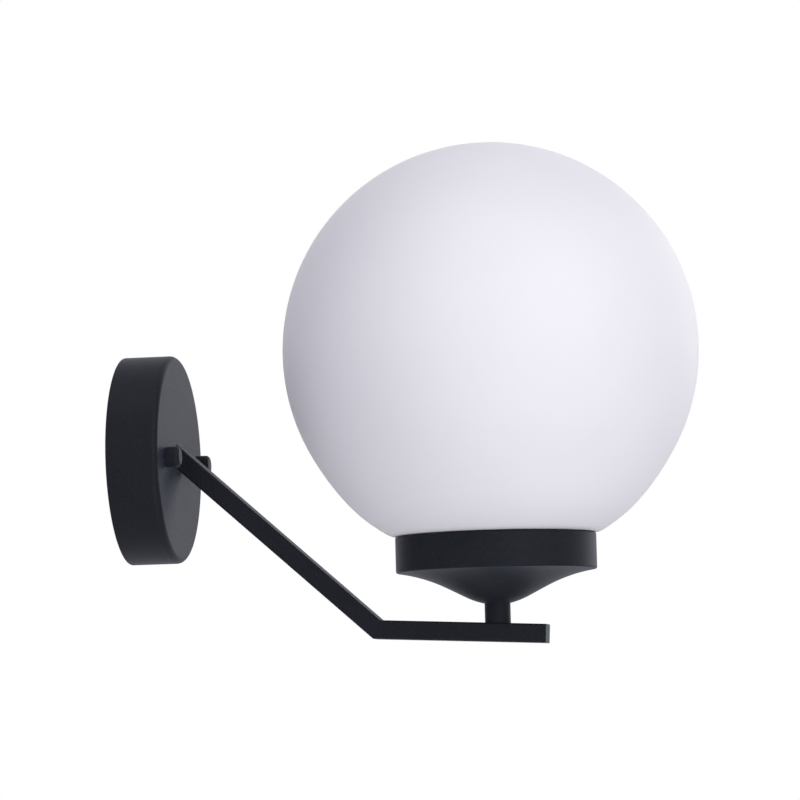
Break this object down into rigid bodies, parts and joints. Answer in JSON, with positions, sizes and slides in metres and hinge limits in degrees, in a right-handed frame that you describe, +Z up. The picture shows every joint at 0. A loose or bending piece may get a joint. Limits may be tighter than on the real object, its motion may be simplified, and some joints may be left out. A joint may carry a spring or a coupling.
{
  "type": "globe wall sconce",
  "caption": "Wall light with a round canopy, an angled box-section arm and an opal globe in an ogee cup, unscrewed and lifted off for the bulb.",
  "frame": {"origin": "centre of the canopy's back, on the wall", "axes": "+Y into the wall, +Z up, +X along the wall to the right as seen from the room"},
  "size_m": [0.2, 0.279, 0.2413],
  "materials": {
    "powder_coat": "fine-texture powder coat, graphite black",
    "black_nylon": "moulded",
    "zinc_steel": "zinc plated",
    "block_plastic": "moulded",
    "brass_parts": "plain brass",
    "cast_alloy": "turned",
    "black_plastic": "moulded",
    "gasket_rubber": "moulded",
    "opal_glass": "satin opal",
    "white_ceramic": "unglazed steatite",
    "bulb_cap_metal": "nickel plated",
    "black_glass": "vitrite",
    "bulb_plastic": "moulded",
    "bulb_diffuser": "frosted",
    "live_insulation": "silicone",
    "neutral_insulation": "silicone",
    "earth_insulation": "silicone"
  },
  "bodies": {
    "fixture": {"canopy": "powder_coat", "cap_nut_left": "powder_coat", "cap_nut_right": "powder_coat", "cap_nut_washer_left": "black_nylon", "cap_nut_washer_right": "black_nylon", "wall_bracket": "zinc_steel", "bracket_stud_left": "zinc_steel", "bracket_stud_right": "zinc_steel", "terminal_block": "block_plastic", "terminal_screws": "zinc_steel", "terminal_block_screw": "zinc_steel", "earth_screw": "brass_parts", "earth_tag": "brass_parts", "arm_strut": "powder_coat", "arm_rail": "powder_coat", "arm_end_plug": "powder_coat", "stem_bush": "powder_coat", "stem_nipple": "zinc_steel", "cup_washer": "zinc_steel", "cup_nut": "zinc_steel", "globe_cup": "powder_coat", "cup_thread_ring": "cast_alloy", "lampholder_base": "black_plastic", "lampholder_sleeve": "black_plastic", "lampholder_core": "white_ceramic", "nipple_grub_screw": "zinc_steel", "screw_shell": "brass_parts", "centre_contact": "brass_parts", "lampholder_terminals": "brass_parts", "live_wire": "live_insulation", "neutral_wire": "neutral_insulation", "earth_wire": "earth_insulation"},
    "gasket_body": {"neck_gasket": "gasket_rubber"},
    "neck_ring_body": {"neck_ring": "black_plastic"},
    "globe_body": {"globe": "opal_glass"},
    "bulb_tip_body": {"bulb_tip": "bulb_cap_metal"},
    "bulb_body_group": {"bulb_cap": "bulb_cap_metal", "bulb_insulator": "black_glass", "bulb_body": "bulb_plastic", "bulb_dome": "bulb_diffuser"}
  },
  "joints": [
    {"name": "globe_rise", "type": "slide", "parent": "fixture", "child": "gasket_body", "axis": [0, 0, 1], "range_m": [0, 0.008]},
    {"name": "globe_turn", "type": "hinge", "parent": "gasket_body", "child": "neck_ring_body", "pos_m": [0, -0.179, 0], "axis": [0, 0, 1], "range_deg": [0, 720]},
    {"name": "globe_lift", "type": "slide", "parent": "neck_ring_body", "child": "globe_body", "axis": [0, 0, 1], "range_m": [0, 0.13]},
    {"name": "bulb_rise", "type": "slide", "parent": "fixture", "child": "bulb_tip_body", "axis": [0, 0, 1], "range_m": [0, 0.01815]},
    {"name": "bulb_turn", "type": "hinge", "parent": "bulb_tip_body", "child": "bulb_body_group", "pos_m": [0, -0.179, 0], "axis": [0, 0, 1], "range_deg": [0, 1800]}
  ],
  "couplings": [
    {"joint": "globe_rise", "follows": "globe_turn", "m_per_rad": 0.00063662},
    {"joint": "bulb_rise", "follows": "bulb_turn", "m_per_rad": 0.00057773}
  ]
}
